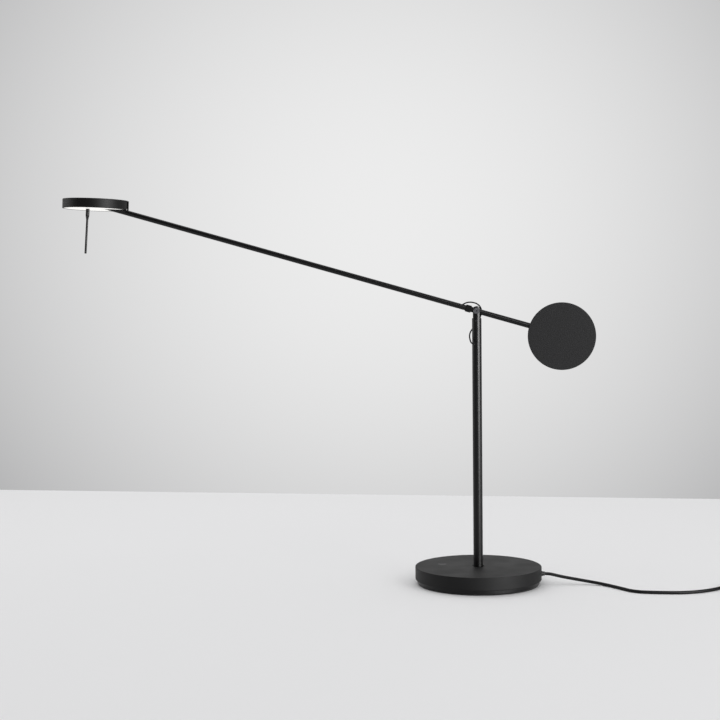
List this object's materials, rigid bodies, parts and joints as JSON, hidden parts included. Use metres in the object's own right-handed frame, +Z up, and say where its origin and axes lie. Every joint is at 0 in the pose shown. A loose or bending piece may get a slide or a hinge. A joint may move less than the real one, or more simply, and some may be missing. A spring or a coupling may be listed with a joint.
{
  "type": "desk lamp",
  "caption": "Counterweight balance desk lamp: round base, swivelling pole, long tilting arm with a flat disc lamp head in front and a round counterweight behind.",
  "frame": {"origin": "centre of the base's underside, where the lamp stands", "axes": "+Z up; +X towards the counterweight and the mains cord, -X towards the lamp head; -Y is the side that the picture shows"},
  "size_m": [1.132, 0.229, 0.6206],
  "materials": {
    "black_iron": "matt black fine-texture powder coat on cast iron",
    "black_steel": "satin black powder coat on steel",
    "plain_steel": "blackened steel fasteners",
    "spring_steel": "phosphated spring steel",
    "black_aluminium": "matt black powder coat on turned aluminium",
    "board_aluminium": "white solder mask on an aluminium board",
    "circuit_board": "glass-epoxy circuit board",
    "felt": "dense black felt",
    "black_rubber": "matt black moulded rubber",
    "cord_black": "matt black PVC sheath",
    "lead_black": "satin black PVC sheath on a thin cable",
    "black_plastic": "fine moulded texture, black",
    "touch_metal": "matt black anodised aluminium",
    "nickel_brass": "nickel-plated brass",
    "bronze": "sintered bronze",
    "friction_plastic": "black acetal",
    "white_tray": "white moulded polycarbonate",
    "opal_acrylic": "satin opal acrylic, lit from behind",
    "led_yellow": "phosphor over a lamp chip"
  },
  "bodies": {
    "base": {"base_body": "black_iron", "base_plate": "black_steel", "plate_screws": "plain_steel", "foot_pad": "felt", "touch_disc": "touch_metal", "touch_ring": "black_plastic", "dimmer_board": "circuit_board", "board_screws": "plain_steel", "driver_module": "black_plastic", "mains_lead": "cord_black", "base_lead": "lead_black", "cord_gland": "black_rubber", "cord_clamp": "black_plastic", "clamp_screws": "plain_steel", "power_cord": "cord_black", "power_cord_coil": "cord_black", "power_cord_tail": "cord_black", "coil_tie": "black_plastic", "plug_body": "black_plastic", "plug_pins": "nickel_brass", "swivel_bush": "bronze", "stop_pin": "plain_steel"},
    "pole": {"stop_washer": "plain_steel", "pole_nut": "plain_steel", "pole_clip": "spring_steel", "pole_tube": "black_steel", "pole_fork": "black_steel", "fork_grub": "plain_steel", "pivot_screw": "black_steel", "pivot_nut": "black_steel", "pivot_washers": "friction_plastic", "pole_grommet": "black_rubber", "pole_lead": "lead_black", "loop_cable": "lead_black"},
    "arm": {"arm_knuckle": "black_steel", "front_arm": "black_steel", "arm_grubs": "plain_steel", "arm_end_eye": "black_steel", "arm_lead": "lead_black", "rear_arm": "black_steel", "counterweight": "black_iron", "weight_grub": "plain_steel"},
    "head": {"head_cup": "black_aluminium", "hinge_bracket": "black_aluminium", "bracket_screws": "plain_steel", "hinge_pin": "plain_steel", "hinge_washers": "friction_plastic", "led_board": "board_aluminium", "led_chips": "led_yellow", "light_tray": "white_tray", "diffuser": "opal_acrylic", "handle_stem": "black_steel", "head_lead": "lead_black"}
  },
  "joints": [
    {"name": "pole_swivel", "type": "hinge", "parent": "base", "child": "pole", "pos_m": [0, 0, 0.028], "axis": [0, 0, 1], "range_deg": [-160, 160]},
    {"name": "arm_tilt", "type": "hinge", "parent": "pole", "child": "arm", "pos_m": [0, 0, 0.4332], "axis": [0, 1, 0], "range_deg": [-49, 18.5], "deforming": ["loop_cable"]},
    {"name": "head_tilt", "type": "hinge", "parent": "arm", "child": "head", "pos_m": [-0.61459, 0, 0.61175], "axis": [0, 1, 0], "range_deg": [-60, 14], "deforming": ["head_lead"]}
  ]
}
